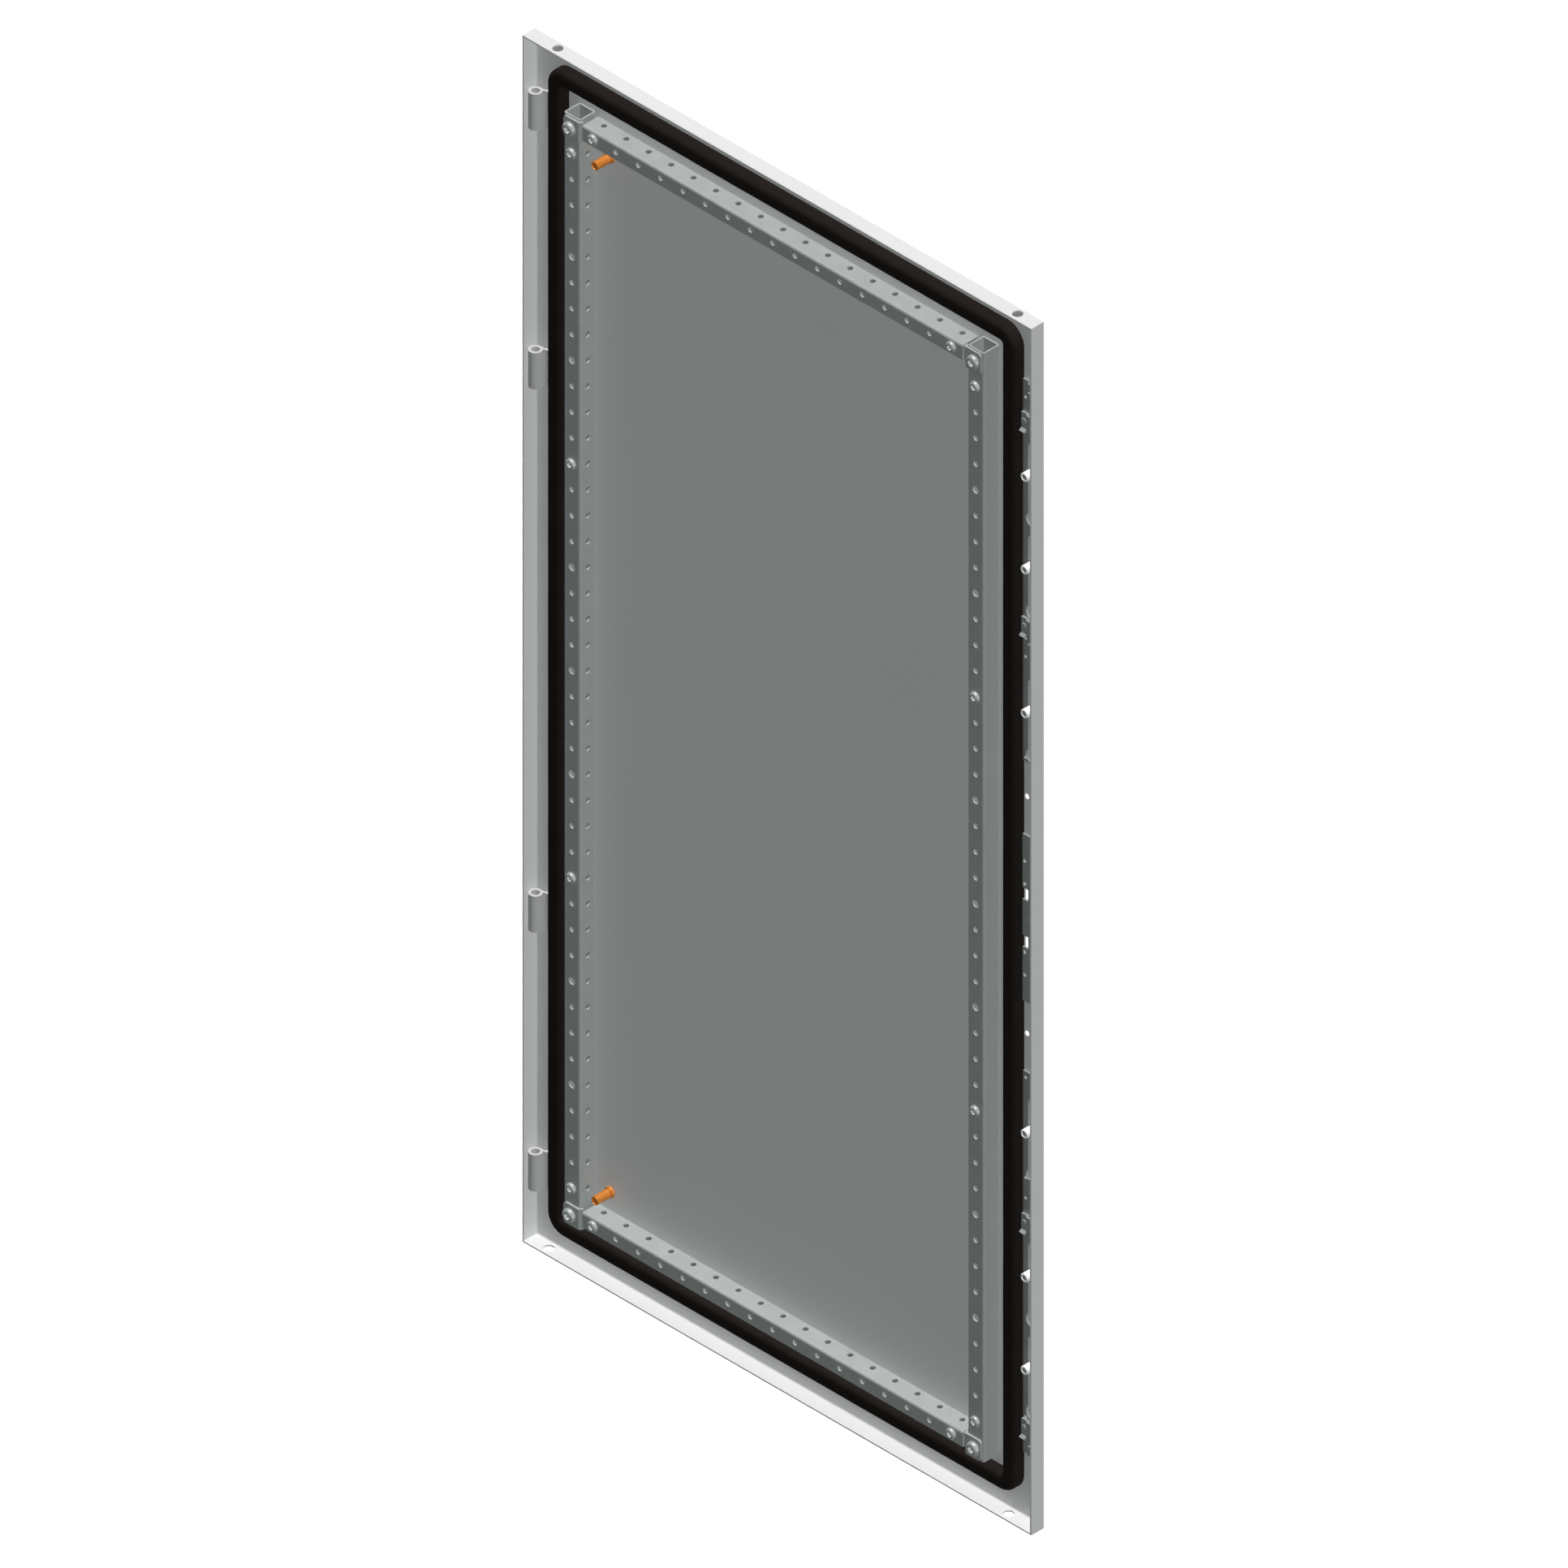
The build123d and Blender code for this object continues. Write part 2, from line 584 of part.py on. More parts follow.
save("rail_screws", set_of(pan_screw, rail_fix_centres, rail_y, m5_head_r, m5_head_h, m5_shank_r, 8.0))
nut_y = rail_y + rail_wall + 0.1 + bracket_sheet
save("rail_nuts", set_of(threaded_sleeve, rail_fix_centres, 4.4, m5_shank_r, nut_y, nut_y + nut_length))
for number, top in enumerate(eye_tops, 1):
    save(f"hinge_eye_{number}", hinge(top))
save("hinge_rivets", hinge_rivets())
save("earth_stud_bottom", earth_stud(stud_z[0]))
save("earth_stud_top", earth_stud(stud_z[1]))
save("guide_studs", [guide_stud(z) for z in guide_zs])
save("guide_sleeves", [guide_sleeve(z) for z in guide_zs])
save("lock_plate", lock_plate())
save("lock_barrel", lock_barrel())
save("lock_spindle", lock_spindle())
save("lock_pinion", pinion())
save("drive_rack", drive_rack())
top_z, bottom_z = bar_mid_z + bar_reach_out, bar_mid_z - bar_reach_out
joint_high, joint_low = bar_mid_z + bar_joint_out, bar_mid_z - bar_joint_out
inner_high, inner_low = bar_mid_z + bar_reach_in, bar_mid_z - bar_reach_in
save("upper_lock_bar", bar(joint_high, top_z, [top_z - 16.6, joint_high + 12], end_step=3.0))
save("upper_link_bar", bar(inner_high, joint_high, [joint_high - 5.8, inner_high + 3.6]))
save("lower_link_bar", bar(joint_low, inner_low, [inner_low - 5.6, joint_low + 4.6]))
save("lower_lock_bar", bar(bottom_z, joint_low, [joint_low - 15.0, bottom_z + 35.0]))
for number, top in enumerate(catch_tops, 1):
    save(f"lock_catch_{number}", catch(top))
save("catch_rivets", catch_rivets())
joint_x, rack_joint_x = guide_x - 3, strip_x + 0.2
save("bar_joint_upper", joint_tab(joint_high - 5.8, joint_high + 8.4, joint_x))
save("bar_joint_lower", joint_tab(joint_low - 8.4, joint_low + 5.8, joint_x))
save("rack_joint_upper", joint_tab(inner_high - 12, inner_high + 8, rack_joint_x))
save("rack_joint_lower", joint_tab(inner_low - 8, inner_low + 12, rack_joint_x))
clips = [joint_tab(top_z - 18, top_z - 10, joint_x), joint_tab(bottom_z, bottom_z + 9, joint_x)]
save("bar_end_clips", clips)
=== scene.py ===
"""Finishes and fine pieces of an enclosure door leaf.

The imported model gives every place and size. The sheet, tubes, rails, eyes and lock pieces keep their shape
and get their finish here. The foam seal, the screws and the earth studs are modelled here in finer detail.
"""
import math

import bmesh
import bpy
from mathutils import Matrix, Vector, noise


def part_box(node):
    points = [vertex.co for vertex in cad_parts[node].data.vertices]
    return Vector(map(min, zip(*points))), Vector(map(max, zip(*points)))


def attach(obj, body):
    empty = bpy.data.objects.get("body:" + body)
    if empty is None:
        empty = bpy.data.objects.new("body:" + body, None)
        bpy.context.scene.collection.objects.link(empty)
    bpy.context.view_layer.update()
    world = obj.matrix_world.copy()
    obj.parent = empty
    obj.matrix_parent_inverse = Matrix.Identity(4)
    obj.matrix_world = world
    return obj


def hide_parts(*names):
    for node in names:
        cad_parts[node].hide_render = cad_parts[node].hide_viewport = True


bl_info = {
    "name": "Enclosure Door Leaf",
    "version": (1, 0, 0),
    "blender": (4, 5, 0),
    "location": "View3D > Sidebar > Door Leaf",
    "description": "Finishes, seal, screws and studs of a folded sheet enclosure door",
    "category": "Object",
}

MM = 0.001
FACING_INSIDE = (math.pi / 2, 0, 0)
ROUND_SIDES = 48
SHOULDER_STEPS = 6
FLAT_TOP = 0.9999
SAME_POINT = 1e-7

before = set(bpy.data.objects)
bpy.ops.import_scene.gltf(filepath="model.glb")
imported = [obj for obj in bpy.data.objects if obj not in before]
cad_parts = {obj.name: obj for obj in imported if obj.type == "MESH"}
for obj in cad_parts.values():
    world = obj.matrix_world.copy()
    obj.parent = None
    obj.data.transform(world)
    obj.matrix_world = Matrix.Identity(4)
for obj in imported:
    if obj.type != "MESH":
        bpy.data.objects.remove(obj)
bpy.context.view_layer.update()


# ---- what a user would change

class SheetSettings(bpy.types.PropertyGroup):
    """Powder coat of the folded sheet and the hinge eyes."""

    colour: bpy.props.FloatVectorProperty(
        name="Coat colour", description="Colour of the powder coat", subtype="COLOR", size=3,
        min=0, max=1, default=(0.50, 0.508, 0.505))
    roughness: bpy.props.FloatProperty(
        name="Coat roughness", description="Satin is about 0.4, matt about 0.6", subtype="FACTOR",
        min=0, max=1, default=0.6)
    peel_size: bpy.props.FloatProperty(
        name="Peel size", description="Width of one ripple of the coat", unit="LENGTH", default=2.2 * MM)
    peel_depth: bpy.props.FloatProperty(
        name="Peel depth", description="Height of the ripples of the coat", unit="LENGTH", default=0.02 * MM)
    # Below 1 this darkens the coat of the hinge eyes: painted shade on the eyes
    eye_painted_shade: bpy.props.FloatProperty(
        name="Eye painted shade", description="How light the hinge eyes are beside the sheet", subtype="FACTOR",
        min=0, max=1, default=0.74)


class ZincSettings(bpy.types.PropertyGroup):
    """Galvanised frame, and plated lock pieces and screws."""

    frame_colour: bpy.props.FloatVectorProperty(
        name="Frame zinc", description="Colour of the galvanised tubes and rails", subtype="COLOR", size=3,
        min=0, max=1, default=(0.288, 0.308, 0.305))
    lock_colour: bpy.props.FloatVectorProperty(
        name="Lock zinc", description="Colour of the plated lock pieces", subtype="COLOR", size=3,
        min=0, max=1, default=(0.28, 0.30, 0.30))
    screw_colour: bpy.props.FloatVectorProperty(
        name="Screw zinc", description="Colour of the plated screws and nuts", subtype="COLOR", size=3,
        min=0, max=1, default=(0.32, 0.34, 0.338))
    crystal_size: bpy.props.FloatProperty(
        name="Crystal size", description="Width of one zinc crystal", unit="LENGTH", default=7 * MM)


class SealSettings(bpy.types.PropertyGroup):
    """The foam bead poured round the sheet."""

    corner_radius: bpy.props.FloatProperty(
        name="Corner radius", description="Outer radius of the bead at the corners", unit="LENGTH",
        default=18 * MM)
    width: bpy.props.FloatProperty(
        name="Width", description="Width of the bead on the sheet", unit="LENGTH", default=15.5 * MM)
    crown: bpy.props.FloatProperty(
        name="Crown", description="Radius of the bead's rounded shoulders", unit="LENGTH", default=4.6 * MM)
    ripple: bpy.props.FloatProperty(
        name="Ripple", description="Unevenness that pouring leaves", unit="LENGTH", default=0.16 * MM)
    colour: bpy.props.FloatVectorProperty(
        name="Foam colour", description="Colour of the foam", subtype="COLOR", size=3,
        min=0, max=1, default=(0.0078, 0.0060, 0.0050))


class ScrewSettings(bpy.types.PropertyGroup):
    """Pan-head screws and copper plated earth studs."""

    small_head: bpy.props.FloatProperty(
        name="Small head", description="Head height of the M5 screws", unit="LENGTH", default=3.2 * MM)
    large_head: bpy.props.FloatProperty(
        name="Large head", description="Head height of the M6 screws", unit="LENGTH", default=3.9 * MM)
    small_shank: bpy.props.FloatProperty(
        name="Small shank", description="Radius of the M5 screws", unit="LENGTH", default=2.4 * MM)
    large_shank: bpy.props.FloatProperty(
        name="Large shank", description="Radius of the M6 screws", unit="LENGTH", default=2.9 * MM)
    stud_collar: bpy.props.FloatProperty(
        name="Stud collar", description="Height of an earth stud's collar", unit="LENGTH", default=2.6 * MM)
    stud_shank: bpy.props.FloatProperty(
        name="Stud shank", description="Radius of an M8 earth stud", unit="LENGTH", default=4 * MM)
    copper: bpy.props.FloatVectorProperty(
        name="Copper", description="Colour of the copper plate", subtype="COLOR", size=3,
        min=0, max=1, default=(0.60, 0.20, 0.028))


class StudioSettings(bpy.types.PropertyGroup):
    """Floor, backdrop, light and camera."""

    top_light: bpy.props.FloatProperty(name="Top light", description="Strength from above", default=4.8)
    side_light: bpy.props.FloatProperty(
        name="Side light", description="Strength on the lock edge", default=1.76)
    inside_light: bpy.props.FloatProperty(
        name="Inside light", description="Strength on the inside face", default=0.41)
    outside_light: bpy.props.FloatProperty(
        name="Outside light", description="Strength on the outside face", default=1.2)
    hinge_light: bpy.props.FloatProperty(
        name="Hinge light", description="Strength on the hinge edge", default=0.16)
    air_light: bpy.props.FloatProperty(
        name="Air light", description="Even light from all round", default=0.1)
    lamp_spread: bpy.props.FloatProperty(
        name="Lamp spread", description="How wide each lamp looks", subtype="ANGLE", default=math.radians(30))
    view_width: bpy.props.FloatProperty(
        name="View width", description="Width that the camera sees", unit="LENGTH", default=1.2372)


SETTINGS = {
    "sheet": SheetSettings,
    "zinc": ZincSettings,
    "seal": SealSettings,
    "screws": ScrewSettings,
    "studio": StudioSettings,
}


class DoorLeafSettings(bpy.types.PropertyGroup):
    """All sizes and colours of the door leaf."""

    sheet: bpy.props.PointerProperty(type=SheetSettings, name="Sheet", description="Coated sheet")
    zinc: bpy.props.PointerProperty(type=ZincSettings, name="Zinc", description="Zinc finishes")
    seal: bpy.props.PointerProperty(type=SealSettings, name="Seal", description="Foam seal")
    screws: bpy.props.PointerProperty(type=ScrewSettings, name="Screws", description="Screws and studs")
    studio: bpy.props.PointerProperty(type=StudioSettings, name="Studio", description="Floor and light")


def chosen():
    """The settings of this scene."""
    return bpy.context.scene.door_leaf


# ---- materials

class Wire:
    """One value in a material. Python's operators on it add Math nodes."""

    def __init__(self, finish, socket):
        self.finish = finish
        self.socket = socket

    def _math(self, operation, first, second):
        return self.finish.node("ShaderNodeMath", {"operation": operation}, {0: first, 1: second})

    def __add__(self, other):
        return self._math("ADD", self, other)

    def __radd__(self, other):
        return self._math("ADD", other, self)

    def __sub__(self, other):
        return self._math("SUBTRACT", self, other)

    def __rsub__(self, other):
        return self._math("SUBTRACT", other, self)

    def __mul__(self, other):
        return self._math("MULTIPLY", self, other)

    def __rmul__(self, other):
        return self._math("MULTIPLY", other, self)


class Finish:
    """A material being made: its nodes, their links and the shader at their end."""

    def __init__(self, name, metallic=0.0, **fixed):
        self.material = bpy.data.materials.new(name)
        self.material.use_nodes = True
        self.tree = self.material.node_tree
        self.shader = self.tree.nodes["Principled BSDF"]
        self.shader.inputs["Metallic"].default_value = metallic
        for socket, value in fixed.items():
            self.shader.inputs[socket.replace("_", " ")].default_value = value
        self.place = self.node("ShaderNodeTexCoord", output="Object")

    def node(self, kind, settings=None, inputs=None, output=0):
        """Adds one node, sets it, fills its inputs with values or wires and returns one output."""
        item = self.tree.nodes.new(kind)
        for name, value in (settings or {}).items():
            setattr(item, name, value)
        for name, value in (inputs or {}).items():
            self.feed(item.inputs[name], value)
        return Wire(self, item.outputs[output])

    def feed(self, socket, value):
        """Links a wire to a socket, or stores a plain value in it."""
        if isinstance(value, Wire):
            self.tree.links.new(value.socket, socket)
        else:
            socket.default_value = value

    def cloud(self, width, detail=2.0, stretch=(1, 1, 1)):
        """Soft noise whose blots are about as wide as given, from 0 to 1."""
        where = self.node("ShaderNodeMapping", None, {"Vector": self.place, "Scale": stretch})
        return self.node("ShaderNodeTexNoise", None, {"Vector": where, "Scale": 1 / width, "Detail": detail})

    def cells(self, width, output="Distance"):
        """Irregular cells about as wide as given."""
        return self.node("ShaderNodeTexVoronoi", None, {"Vector": self.place, "Scale": 1 / width}, output)

    def blend(self, amount, first, second):
        """A colour between two colours."""
        mix = {0: amount, 6: (*first, 1), 7: (*second, 1)}
        return self.node("ShaderNodeMix", {"data_type": "RGBA"}, mix, output=2)

    def relief(self, height, depth, strength=1.0, below=None):
        """A normal that follows a height of the given depth."""
        inputs = {"Height": height, "Distance": depth, "Strength": strength}
        if below is not None:
            inputs["Normal"] = below
        return self.node("ShaderNodeBump", None, inputs)

    def done(self, colour, roughness, normal):
        """Joins the finished colour, roughness and normal to the shader."""
        self.feed(self.shader.inputs["Base Color"], colour)
        self.feed(self.shader.inputs["Roughness"], roughness)
        self.feed(self.shader.inputs["Normal"], normal)
        return self.material


def shade(colour, factor):
    """A lighter or darker colour."""
    return tuple(min(1.0, channel * factor) for channel in colour)


def powder_coat(name, tone=1.0):
    """Matt powder coat with a fine orange peel."""
    settings = chosen().sheet
    coat = Finish(name, Specular_IOR_Level=0.42)
    drift = coat.cloud(0.16, detail=1.0)
    peel = coat.cloud(settings.peel_size, detail=1.5)
    grain = coat.cloud(0.35 * MM, detail=1.0)
    # A tone below 1 darkens both coat colours; on the hinge eyes this is painted shade
    dark, light = shade(settings.colour, 0.975 * tone), shade(settings.colour, 1.02 * tone)
    colour = coat.blend(drift * 0.7 + grain * 0.3, dark, light)
    roughness = settings.roughness + (drift - 0.5) * 0.08 + (grain - 0.5) * 0.05
    fine = coat.relief(grain, 0.004 * MM, strength=0.5)
    return coat.done(colour, roughness, coat.relief(peel, settings.peel_depth, strength=0.55, below=fine))


def hot_dip_zinc():
    """Galvanised sheet: faint crystals, a rolled grain and a dull bloom."""
    settings = chosen().zinc
    zinc = Finish("hot_dip_zinc", metallic=0.25, Specular_IOR_Level=0.35)
    tone = zinc.cells(settings.crystal_size, "Color")
    crystal = zinc.node("ShaderNodeSeparateColor", None, {0: tone})
    bloom = zinc.cloud(0.05, detail=3.0)
    rolled = zinc.cloud(0.8 * MM, detail=2.0, stretch=(1, 1, 0.05))
    mixed = crystal * 0.45 + bloom * 0.35 + rolled * 0.2
    colour = zinc.blend(mixed, shade(settings.frame_colour, 0.95), shade(settings.frame_colour, 1.05))
    roughness = 0.56 + crystal * 0.1 + (bloom - 0.5) * 0.12
    return zinc.done(colour, roughness, zinc.relief(rolled, 0.004 * MM, strength=0.4))


def plated_zinc(name, colour, metallic, roughness):
    """Thin bright plating over pressed or turned steel, with handling marks."""
    plate = Finish(name, metallic=metallic)
    cloudy = plate.cloud(0.02, detail=3.0)
    drawn = plate.cloud(0.4 * MM, detail=2.0, stretch=(1, 1, 0.12))
    spots = plate.cells(0.012)
    tint = plate.blend(cloudy * 0.6 + drawn * 0.4, shade(colour, 0.9), shade(colour, 1.09))
    rough = roughness + (cloudy - 0.5) * 0.12 + (spots - 0.4) * 0.04
    return plate.done(tint, rough, plate.relief(drawn, 0.006 * MM, strength=0.6))


def poured_foam():
    """Dark foam: a skin with pores of two sizes."""
    settings = chosen().seal
    foam = Finish("poured_foam", Specular_IOR_Level=0.06)
    pores = foam.cells(1.1 * MM)
    fine_pores = foam.cells(0.45 * MM)
    dust = foam.cloud(0.03, detail=3.0)
    # The pores darken the colour in their pits, painted shade in the pores; the dust cloud varies the tone at
    # random
    mixed = dust * 0.6 + pores * 0.5
    colour = foam.blend(mixed, shade(settings.colour, 0.7), shade(settings.colour, 1.7))
    skin = foam.relief(fine_pores, 0.08 * MM, strength=0.4)
    return foam.done(colour, 0.72 + dust * 0.14, foam.relief(pores, 0.2 * MM, strength=0.5, below=skin))


def copper_plate():
    """Copper plating that has dulled a little."""
    copper = chosen().screws.copper
    plate = Finish("copper_plate", metallic=0.4)
    tarnish = plate.cloud(3 * MM, detail=3.0)
    fine = plate.cloud(0.5 * MM, detail=2.0)
    colour = plate.blend(tarnish * 0.7 + fine * 0.3, shade(copper, 0.72), shade(copper, 1.15))
    return plate.done(colour, 0.3 + tarnish * 0.16, plate.relief(fine, 0.008 * MM, strength=0.5))


def white_nylon():
    """Natural white nylon, turned, with a faint grain round it."""
    nylon = Finish("white_nylon", Specular_IOR_Level=0.45)
    milky = nylon.cloud(2.5 * MM, detail=2.0)
    turned = nylon.cloud(0.3 * MM, detail=1.0, stretch=(0.2, 1, 0.2))
    shaded, lit = (0.66, 0.66, 0.655), (0.74, 0.74, 0.735)
    colour = nylon.blend(milky * 0.6 + turned * 0.4, shaded, lit)
    return nylon.done(colour, 0.36 + milky * 0.12, nylon.relief(turned, 0.01 * MM, strength=0.4))


def plain_surface(name, patch_width, **fixed):
    """A pale and nearly even finish for the floor and the backdrop."""
    pale = Finish(name, **fixed)
    patch = pale.cloud(patch_width, detail=1.0)
    colour = pale.blend(patch, (0.93, 0.93, 0.93), (0.96, 0.96, 0.96))
    return pale.done(colour, 0.9, pale.relief(patch, 0.01 * MM, strength=0.1))


def coat(finish, *nodes):
    """Gives CAD nodes a finish."""
    for node in nodes:
        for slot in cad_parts[node].material_slots:
            slot.material = finish


# ---- modelling

def deselect():
    """Leaves nothing selected."""
    if bpy.context.mode != "OBJECT":
        bpy.ops.object.mode_set(mode="OBJECT")
    bpy.ops.object.select_all(action="DESELECT")


def pick(kind, test):
    """In edit mode, selects the faces, edges or points that pass a test, and nothing else."""
    bpy.ops.mesh.select_mode(type=kind)
    bpy.ops.mesh.select_all(action="DESELECT")
    mesh = bpy.context.edit_object.data
    shape = bmesh.from_edit_mesh(mesh)
    shape.normal_update()
    for item in {"FACE": shape.faces, "EDGE": shape.edges, "VERT": shape.verts}[kind]:
        if test(item):
            item.select_set(True)
    shape.select_flush_mode()
    bmesh.update_edit_mesh(mesh)


def raise_by(distance):
    """Extrudes what is selected along the piece's own z."""
    bpy.ops.mesh.extrude_region_move(TRANSFORM_OT_translate={"value": (0, 0, distance)})


def finish_piece(piece, name, finish, body, replaced=(), angle=35):
    """Names a modelled piece, coats it, fixes its place in its mesh and lets it ride on its body."""
    deselect()
    piece.name = name
    piece.data.name = name
    piece.data.materials.clear()
    piece.data.materials.append(finish)
    piece.select_set(True)
    bpy.context.view_layer.objects.active = piece
    bpy.ops.object.transform_apply(location=True, rotation=True, scale=True)
    bpy.ops.object.shade_smooth_by_angle(angle=math.radians(angle))
    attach(piece, body)
    if replaced:
        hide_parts(*replaced)
    deselect()
    return piece


def solids_of(node):
    """The box of each separate solid of a CAD node, in order of x and then z."""
    shape = bmesh.new()
    shape.from_mesh(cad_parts[node].data)
    bmesh.ops.remove_doubles(shape, verts=shape.verts, dist=SAME_POINT)
    left = set(shape.verts)
    boxes = []
    while left:
        waiting = [left.pop()]
        points = []
        while waiting:
            point = waiting.pop()
            points.append(point.co.copy())
            for edge in point.link_edges:
                other = edge.other_vert(point)
                if other in left:
                    left.discard(other)
                    waiting.append(other)
        low = Vector([min(point[axis] for point in points) for axis in range(3)])
        high = Vector([max(point[axis] for point in points) for axis in range(3)])
        boxes.append((low, high))
    shape.free()
    return sorted(boxes, key=lambda box: (round(box[0].x, 4), round(box[0].z, 4)))


def seal_bead():
    """A closed bead: a rounded outline, inset, raised, with crowned shoulders and a slight ripple."""
    settings = chosen().seal
    corner_steps, run_cuts = 14, 90
    nearly_all, sharp, long_run = 0.9, 1.2, 0.3
    ripple_across, ripple_up, ripple_level = 35, 60, 0.6
    low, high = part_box("gasket")
    height = high.y - low.y
    deselect()
    bpy.ops.mesh.primitive_plane_add(size=1)
    bead = bpy.context.object
    bpy.ops.object.mode_set(mode="EDIT")
    bpy.ops.transform.resize(value=(high.x - low.x, high.z - low.z, 1))
    bpy.ops.mesh.select_mode(type="VERT")
    bpy.ops.mesh.select_all(action="SELECT")
    bpy.ops.mesh.bevel(
        offset=settings.corner_radius, segments=corner_steps, affect="VERTICES", clamp_overlap=False)
    bpy.ops.mesh.select_mode(type="FACE")
    bpy.ops.mesh.select_all(action="SELECT")
    bpy.ops.mesh.inset(thickness=settings.width, use_even_offset=True)
    largest = max(face.calc_area() for face in bmesh.from_edit_mesh(bead.data).faces)
    pick("FACE", lambda face: face.calc_area() > nearly_all * largest)
    bpy.ops.mesh.delete(type="FACE")
    bpy.ops.mesh.select_all(action="SELECT")
    raise_by(height)
    bpy.ops.mesh.select_all(action="SELECT")
    bpy.ops.mesh.normals_make_consistent(inside=False)

    def shoulder(edge):
        raised = all(point.co.z > nearly_all * height for point in edge.verts)
        return raised and edge.calc_face_angle(0) > sharp

    pick("EDGE", shoulder)
    bpy.ops.mesh.bevel(
        offset=settings.crown, segments=SHOULDER_STEPS, profile=0.5, affect="EDGES", clamp_overlap=False)
    pick("EDGE", lambda edge: edge.calc_length() > long_run)
    bpy.ops.mesh.subdivide(number_cuts=run_cuts)
    bpy.ops.object.mode_set(mode="OBJECT")
    for point in bead.data.vertices:
        if point.co.z > 0.1 * height:
            across, along, up = point.co
            wave = noise.noise(Vector((across * ripple_across, along * ripple_across, up * ripple_up)))
            point.co.z += settings.ripple * (wave - ripple_level)
    bead.rotation_euler = FACING_INSIDE
    bead.location = ((low.x + high.x) / 2, high.y, (low.z + high.z) / 2)
    return bead


def pan_screw(head_r, head_h, shank_r, shank_length):
    """A pan-head screw on its seat, head up: domed head, six-lobed recess and a shank."""
    shoulder, recess_depth = head_h * 0.62, 0.62 * head_h
    recess_r, recess_taper = head_r * 0.46, 0.86
    lobes, lobe_depth = 6, 0.13
    tip_h, tip_taper = 0.8 * MM, 0.7
    deselect()
    bpy.ops.mesh.primitive_circle_add(vertices=ROUND_SIDES, radius=head_r, fill_type="NGON")
    screw = bpy.context.object
    bpy.ops.object.mode_set(mode="EDIT")
    raise_by(head_h)
    pick("EDGE", lambda edge: all(point.co.z > 0.5 * head_h for point in edge.verts))
    bpy.ops.mesh.bevel(
        offset=shoulder, segments=SHOULDER_STEPS, profile=0.5, affect="EDGES", clamp_overlap=False)
    pick("FACE", lambda face: face.normal.z > FLAT_TOP)
    shape = bmesh.from_edit_mesh(screw.data)
    crown_r = max(math.hypot(*point.co.xy) for point in shape.verts if point.select)
    bpy.ops.mesh.inset(thickness=crown_r - recess_r)
    shape = bmesh.from_edit_mesh(screw.data)
    for point in shape.verts:
        if point.select:
            turn = math.atan2(point.co.y, point.co.x)
            reach = recess_r * (1 + lobe_depth * math.cos(lobes * turn)) / math.hypot(*point.co.xy)
            point.co.x *= reach
            point.co.y *= reach
    bmesh.update_edit_mesh(screw.data)
    raise_by(-recess_depth)
    bpy.ops.transform.resize(value=(recess_taper, recess_taper, 1))
    pick("FACE", lambda face: face.normal.z < -FLAT_TOP and face.calc_center_median().z < 0.01 * head_h)
    bpy.ops.mesh.inset(thickness=head_r - shank_r)
    raise_by(-(shank_length - tip_h))
    raise_by(-tip_h)
    bpy.ops.transform.resize(value=(tip_taper, tip_taper, 1))
    bpy.ops.mesh.select_all(action="SELECT")
    bpy.ops.mesh.normals_make_consistent(inside=False)
    bpy.ops.object.mode_set(mode="OBJECT")
    return screw


def earth_stud(radius, collar_r, collar_h, length):
    """A welding stud on its seat, tip up: a rounded collar, a shank with a chamfered rim and a dished tip."""
    rounding, rounding_steps = 0.5 * MM, 3
    chamfer_h, chamfer_taper = 0.6 * MM, 0.88
    tip_rim, dish_slope, dish_depth = 0.5 * MM, 0.3 * MM, 0.6 * MM
    deselect()
    bpy.ops.mesh.primitive_circle_add(vertices=ROUND_SIDES, radius=collar_r, fill_type="NGON")
    stud = bpy.context.object
    bpy.ops.object.mode_set(mode="EDIT")
    raise_by(collar_h)
    pick("EDGE", lambda edge: all(point.co.z > 0.5 * collar_h for point in edge.verts))
    bpy.ops.mesh.bevel(offset=rounding, segments=rounding_steps, affect="EDGES")
    pick("FACE", lambda face: face.normal.z > FLAT_TOP)
    bpy.ops.mesh.inset(thickness=collar_r - rounding - radius)
    raise_by(length - collar_h - chamfer_h)
    raise_by(chamfer_h)
    bpy.ops.transform.resize(value=(chamfer_taper, chamfer_taper, 1))
    bpy.ops.mesh.inset(thickness=tip_rim)
    bpy.ops.mesh.inset(thickness=dish_slope)
    bpy.ops.transform.translate(value=(0, 0, -dish_depth))
    bpy.ops.mesh.select_all(action="SELECT")
    bpy.ops.mesh.normals_make_consistent(inside=False)
    bpy.ops.object.mode_set(mode="OBJECT")
    return stud


def set_down(model, name, seat, finish, replaced=(), angle=35):
    """Puts a copy of a modelled piece on its seat, facing the inside."""
    piece = model.copy()
    piece.data = model.data.copy()
    bpy.context.scene.collection.objects.link(piece)
    piece.rotation_euler = FACING_INSIDE
    piece.location = seat
    return finish_piece(piece, name, finish, "door_leaf", replaced, angle)


# ---- operators

class DOORLEAF_OT_coat_sheet(bpy.types.Operator):
    """Coats the folded sheet and the rolled hinge eyes."""

    bl_idname = "doorleaf.coat_sheet"
    bl_label = "Coat sheet and eyes"

    def execute(self, context):
        coat(powder_coat("powder_coat"), "door_panel")
        eyes = [f"hinge_eye_{number}" for number in range(1, 5)]
        # The hinge eyes get a darker copy of the coat: painted shade
        coat(powder_coat("eye_coat_painted_shade", chosen().sheet.eye_painted_shade), *eyes)
        return {"FINISHED"}


class DOORLEAF_OT_galvanise_frame(bpy.types.Operator):
    """Galvanises the tubes, rails and corner brackets."""

    bl_idname = "doorleaf.galvanise_frame"
    bl_label = "Galvanise frame"

    def execute(self, context):
        corners = ("left_top", "left_bottom", "right_top", "right_bottom")
        brackets = [f"corner_bracket_{corner}" for corner in corners]
        coat(hot_dip_zinc(), "left_tube", "right_tube", "top_rail", "bottom_rail", *brackets)
        return {"FINISHED"}


